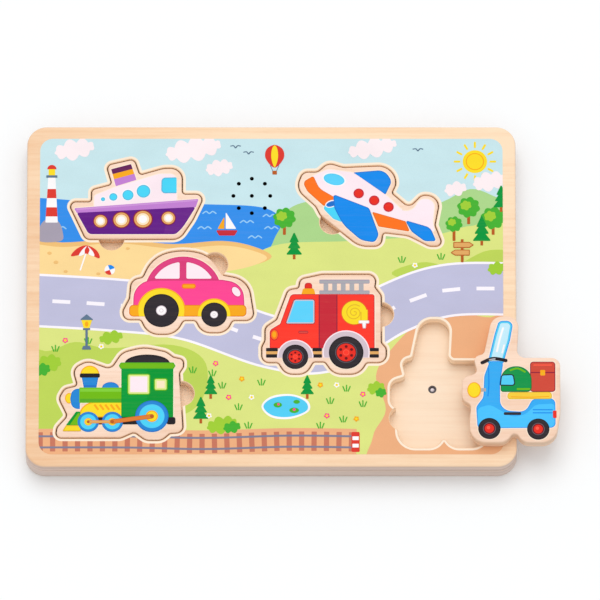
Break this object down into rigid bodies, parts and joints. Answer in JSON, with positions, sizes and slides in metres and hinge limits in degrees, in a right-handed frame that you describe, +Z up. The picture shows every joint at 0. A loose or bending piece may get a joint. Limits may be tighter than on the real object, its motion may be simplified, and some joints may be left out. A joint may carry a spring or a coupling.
{
  "type": "wooden sound puzzle",
  "caption": "Flat wooden inset puzzle board with vehicle pieces in shaped pockets; light sensors under the pieces trigger a sound unit in the base",
  "frame": {"origin": "middle of the board's underside, on the back cover's face", "axes": "+X to the right along the board's long side, +Y to the far long edge, +Z up out of the printed face"},
  "size_m": [0.3265, 0.222, 0.026],
  "materials": {
    "face_wood": "matt varnish over a printed picture",
    "base_wood": "sanded, bare",
    "back_board": "pressed hardboard, smooth",
    "boat_paint": "printed and varnished",
    "plane_paint": "printed and varnished",
    "car_paint": "printed and varnished",
    "fire_engine_paint": "printed and varnished",
    "locomotive_paint": "printed and varnished",
    "scooter_paint": "printed and varnished",
    "sensor_plastic": "moulded",
    "lens_plastic": "clear, polished",
    "speaker_steel": "zinc plated",
    "cone_paper": "pressed paper",
    "gasket_foam": "foam",
    "magnet_ferrite": "ground",
    "circuit_laminate": "solder mask",
    "chip_resin": "poured resin",
    "component_body": "moulded",
    "screw_steel": "zinc plated",
    "tray_plastic": "moulded",
    "cell_jacket": "plain jacket",
    "contact_steel": "nickel plated",
    "door_plastic": "moulded",
    "red_wire": "flexible",
    "orange_wire": "flexible",
    "black_wire": "flexible"
  },
  "bodies": {
    "board": {"face_panel": "face_wood", "base_panel": "base_wood", "back_cover": "back_board", "back_cover_screws": "screw_steel", "boat_sensor": "sensor_plastic", "plane_sensor": "sensor_plastic", "car_sensor": "sensor_plastic", "fire_engine_sensor": "sensor_plastic", "locomotive_sensor": "sensor_plastic", "scooter_sensor": "sensor_plastic", "sensor_lenses": "lens_plastic", "speaker_basket": "speaker_steel", "speaker_cone": "cone_paper", "speaker_gasket": "gasket_foam", "speaker_magnet": "magnet_ferrite", "circuit_board": "circuit_laminate", "sound_chip": "chip_resin", "board_components": "component_body", "circuit_board_screws": "screw_steel", "battery_tray": "tray_plastic", "front_cell": "cell_jacket", "rear_cell": "cell_jacket", "contact_plates": "contact_steel", "contact_springs": "contact_steel", "sensor_leads": "red_wire", "speaker_lead": "orange_wire", "battery_lead": "black_wire"},
    "boat": {"boat_piece": "boat_paint"},
    "plane": {"plane_piece": "plane_paint"},
    "car": {"car_piece": "car_paint"},
    "fire_engine": {"fire_engine_piece": "fire_engine_paint"},
    "locomotive": {"locomotive_piece": "locomotive_paint"},
    "scooter": {"scooter_piece": "scooter_paint"},
    "battery_door": {"battery_door": "door_plastic"},
    "door_screw": {"door_screw": "screw_steel"}
  },
  "joints": [
    {"name": "boat_lift", "type": "slide", "parent": "board", "child": "boat", "axis": [0, 0, 1], "range_m": [0, 0.03]},
    {"name": "plane_lift", "type": "slide", "parent": "board", "child": "plane", "axis": [0, 0, 1], "range_m": [0, 0.03]},
    {"name": "car_lift", "type": "slide", "parent": "board", "child": "car", "axis": [0, 0, 1], "range_m": [0, 0.03]},
    {"name": "fire_engine_lift", "type": "slide", "parent": "board", "child": "fire_engine", "axis": [0, 0, 1], "range_m": [0, 0.03]},
    {"name": "locomotive_lift", "type": "slide", "parent": "board", "child": "locomotive", "axis": [0, 0, 1], "range_m": [0, 0.03]},
    {"name": "scooter_lift", "type": "slide", "parent": "board", "child": "scooter", "axis": [0, 0, 1], "range_m": [0, 0.03]},
    {"name": "battery_door_drop", "type": "slide", "parent": "board", "child": "battery_door", "axis": [0, 0, -1], "range_m": [0, 0.015]},
    {"name": "door_screw_turn", "type": "hinge", "parent": "battery_door", "child": "door_screw", "pos_m": [0.032, -0.077, 0.0005], "axis": [0, 0, -1], "continuous": true}
  ]
}
